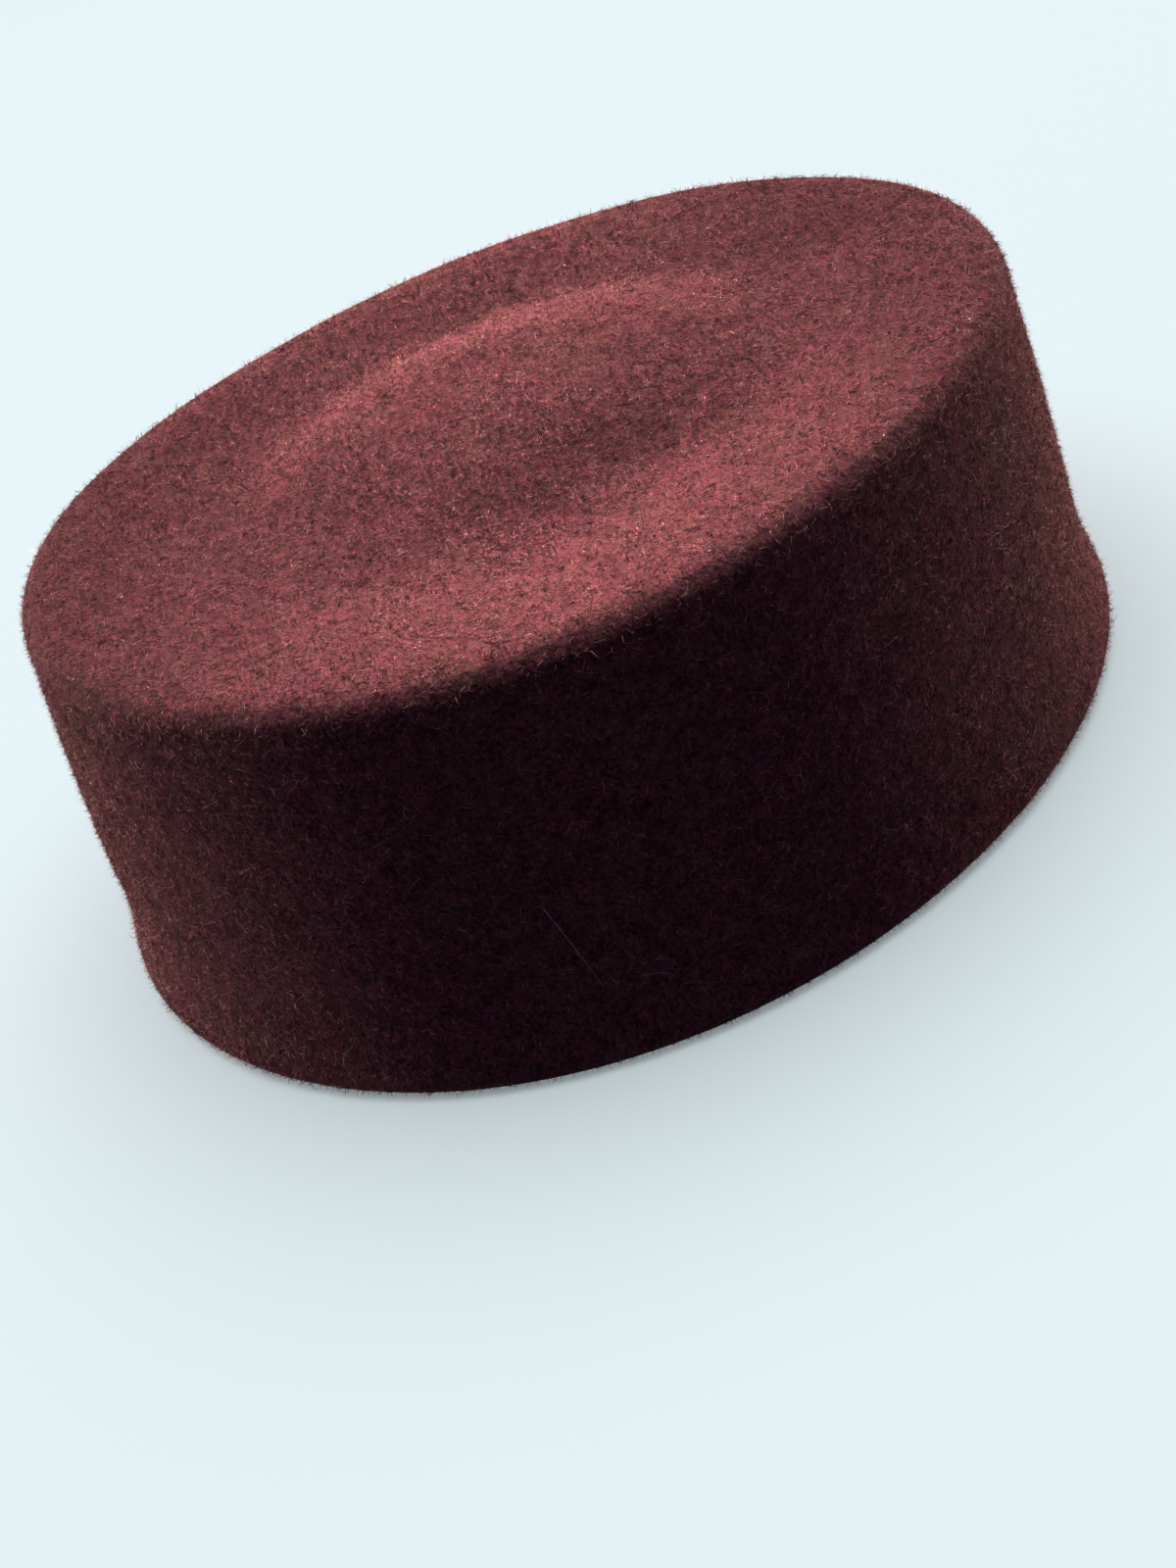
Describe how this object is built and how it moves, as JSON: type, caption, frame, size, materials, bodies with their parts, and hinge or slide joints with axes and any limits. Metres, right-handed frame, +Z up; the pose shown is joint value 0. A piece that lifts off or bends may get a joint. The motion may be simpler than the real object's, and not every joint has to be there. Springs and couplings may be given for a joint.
{
  "type": "pillbox hat",
  "caption": "Oval pillbox hat of brushed burgundy felt, blocked in one piece, with a slightly tapered wall, a rounded shoulder and a flat tip with a low dome in its middle.",
  "frame": {"origin": "on the floor under the middle of the hat, in the plane of the cut edge that it stands on", "axes": "+Z up out of the tip, +Y towards the back of the hat, +X towards the wearer's left, so that the front faces -Y"},
  "size_m": [0.1786, 0.1988, 0.0715],
  "materials": {
    "felt": "matte brushed wool felt with a short nap"
  },
  "bodies": {
    "root": {"felt_body": "felt"}
  },
  "joints": []
}
